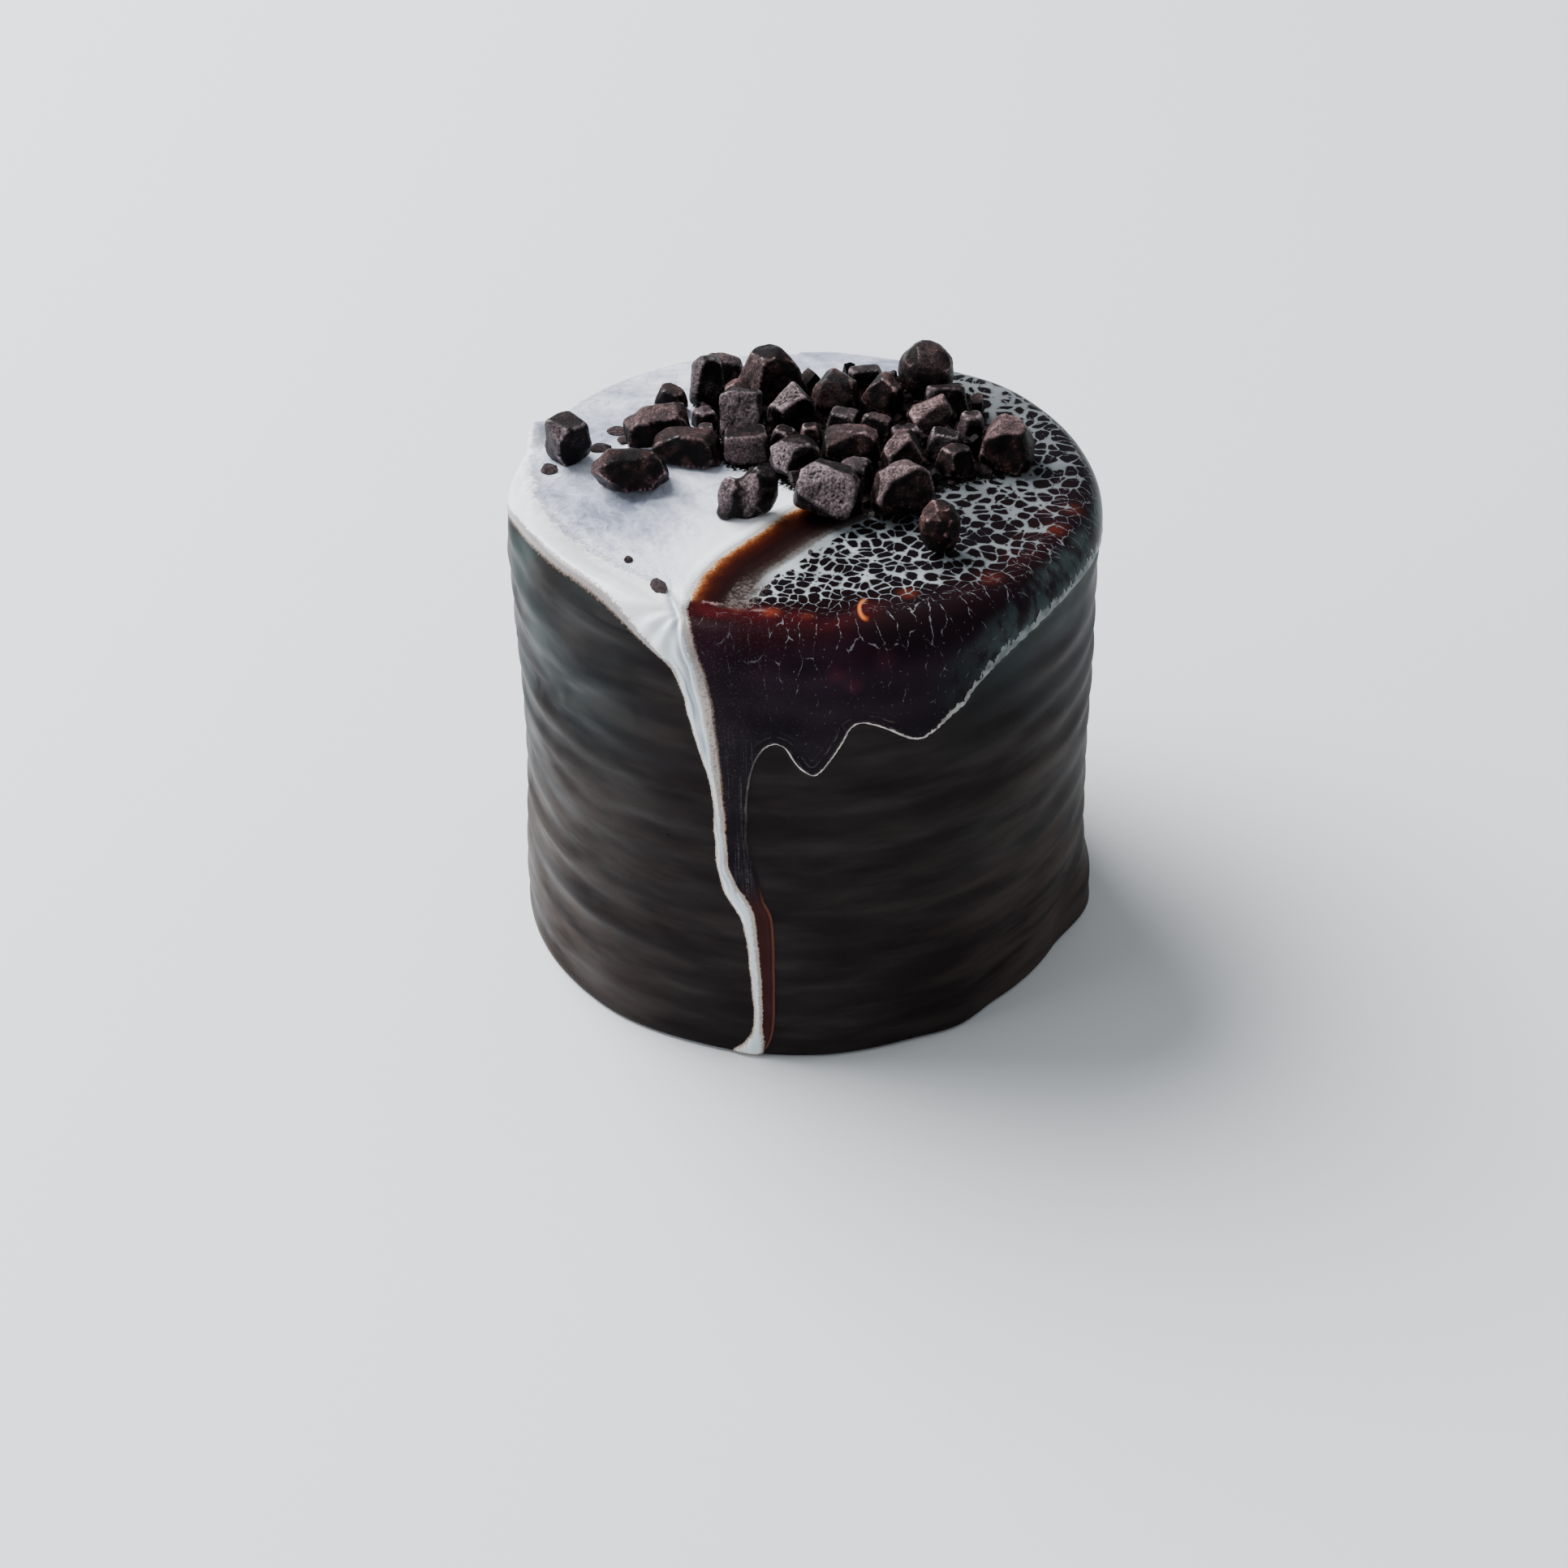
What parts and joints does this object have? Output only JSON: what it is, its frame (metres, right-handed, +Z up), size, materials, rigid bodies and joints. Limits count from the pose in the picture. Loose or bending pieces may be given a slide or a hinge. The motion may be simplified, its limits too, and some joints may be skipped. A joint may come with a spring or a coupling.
{
  "type": "small round glazed chocolate cake",
  "caption": "Whole small round chocolate mousse cake with a poured glaze that drips down its side, topped with broken chocolate.",
  "frame": {"origin": "middle of the cake's flat underside", "axes": "+Z up; -Y towards the front, where the long white drip runs down the side; +X to the right seen from the front"},
  "size_m": [0.0728, 0.071, 0.0675],
  "materials": {
    "glaze": "satin glaze, dark chocolate with a white pour",
    "chocolate": "matte broken chocolate"
  },
  "bodies": {
    "root": {"cake": "glaze", "chunk_01": "chocolate", "chunk_02": "chocolate", "chunk_03": "chocolate", "chunk_04": "chocolate", "chunk_05": "chocolate", "chunk_06": "chocolate", "chunk_07": "chocolate", "chunk_08": "chocolate", "chunk_09": "chocolate", "chunk_10": "chocolate", "chunk_11": "chocolate", "chunk_12": "chocolate", "chunk_13": "chocolate", "chunk_14": "chocolate", "chunk_15": "chocolate", "chunk_16": "chocolate", "chunk_17": "chocolate", "chunk_18": "chocolate", "chunk_19": "chocolate", "chunk_20": "chocolate", "chunk_21": "chocolate", "chunk_22": "chocolate", "chunk_23": "chocolate", "chunk_24": "chocolate", "chunk_25": "chocolate", "chunk_26": "chocolate", "chunk_27": "chocolate", "chunk_28": "chocolate", "chunk_29": "chocolate", "chunk_30": "chocolate", "chunk_31": "chocolate", "chunk_32": "chocolate", "chunk_33": "chocolate", "chunk_34": "chocolate", "pearl": "chocolate", "nugget": "chocolate", "twin_nugget": "chocolate"}
  },
  "joints": []
}
